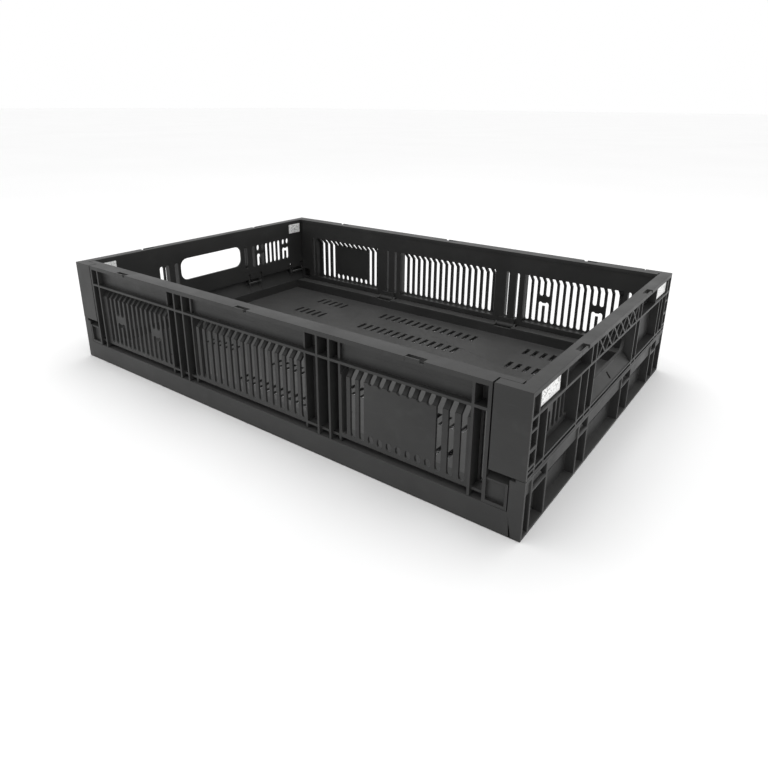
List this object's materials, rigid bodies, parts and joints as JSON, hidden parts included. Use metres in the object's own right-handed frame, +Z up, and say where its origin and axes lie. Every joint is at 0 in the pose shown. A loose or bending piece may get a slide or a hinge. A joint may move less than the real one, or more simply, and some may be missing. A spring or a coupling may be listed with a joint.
{
  "type": "folding ventilated crate",
  "caption": "Low black folding crate with a rectangular footprint, slotted folding walls, hand openings in the short walls and a slotted floor",
  "frame": {"origin": "on the ground under the centre of the standing crate", "axes": "+X along the long walls, +Y along the short walls, +Z up"},
  "size_m": [0.6, 0.4, 0.124],
  "materials": {
    "black_plastic": "satin moulded polypropylene, near black",
    "wall_plastic": "satin moulded polypropylene, near black",
    "pin_plastic": "smooth moulded plastic, dark grey",
    "label_white": "white identification label, printed speckle"
  },
  "bodies": {
    "base": {"base_tray": "black_plastic", "hinge_pin_front_left": "pin_plastic", "hinge_pin_front_right": "pin_plastic", "hinge_pin_back_left": "pin_plastic", "hinge_pin_back_right": "pin_plastic", "hinge_pin_left_1": "pin_plastic", "hinge_pin_left_2": "pin_plastic", "hinge_pin_left_3": "pin_plastic", "hinge_pin_left_4": "pin_plastic", "hinge_pin_right_1": "pin_plastic", "hinge_pin_right_2": "pin_plastic", "hinge_pin_right_3": "pin_plastic", "hinge_pin_right_4": "pin_plastic"},
    "front_wall": {"long_wall_front": "wall_plastic"},
    "back_wall": {"long_wall_back": "wall_plastic"},
    "left_wall": {"short_wall_left": "wall_plastic", "outer_label_left_a": "label_white", "outer_label_left_b": "label_white", "inner_label_left_a": "label_white", "inner_label_left_b": "label_white"},
    "right_wall": {"short_wall_right": "wall_plastic", "outer_label_right_a": "label_white", "outer_label_right_b": "label_white", "inner_label_right_a": "label_white", "inner_label_right_b": "label_white"}
  },
  "joints": [
    {"name": "front_wall_fold", "type": "hinge", "parent": "base", "child": "front_wall", "pos_m": [0, -0.181, 0.0205], "axis": [-1, 0, 0], "range_deg": [0, 90]},
    {"name": "back_wall_fold", "type": "hinge", "parent": "base", "child": "back_wall", "pos_m": [0, 0.181, 0.0205], "axis": [1, 0, 0], "range_deg": [0, 90]},
    {"name": "left_wall_fold", "type": "hinge", "parent": "base", "child": "left_wall", "pos_m": [-0.2925, 0, 0.045], "axis": [0, 1, 0], "range_deg": [0, 0.7]},
    {"name": "right_wall_fold", "type": "hinge", "parent": "base", "child": "right_wall", "pos_m": [0.2925, 0, 0.045], "axis": [0, -1, 0], "range_deg": [0, 0.7]}
  ]
}
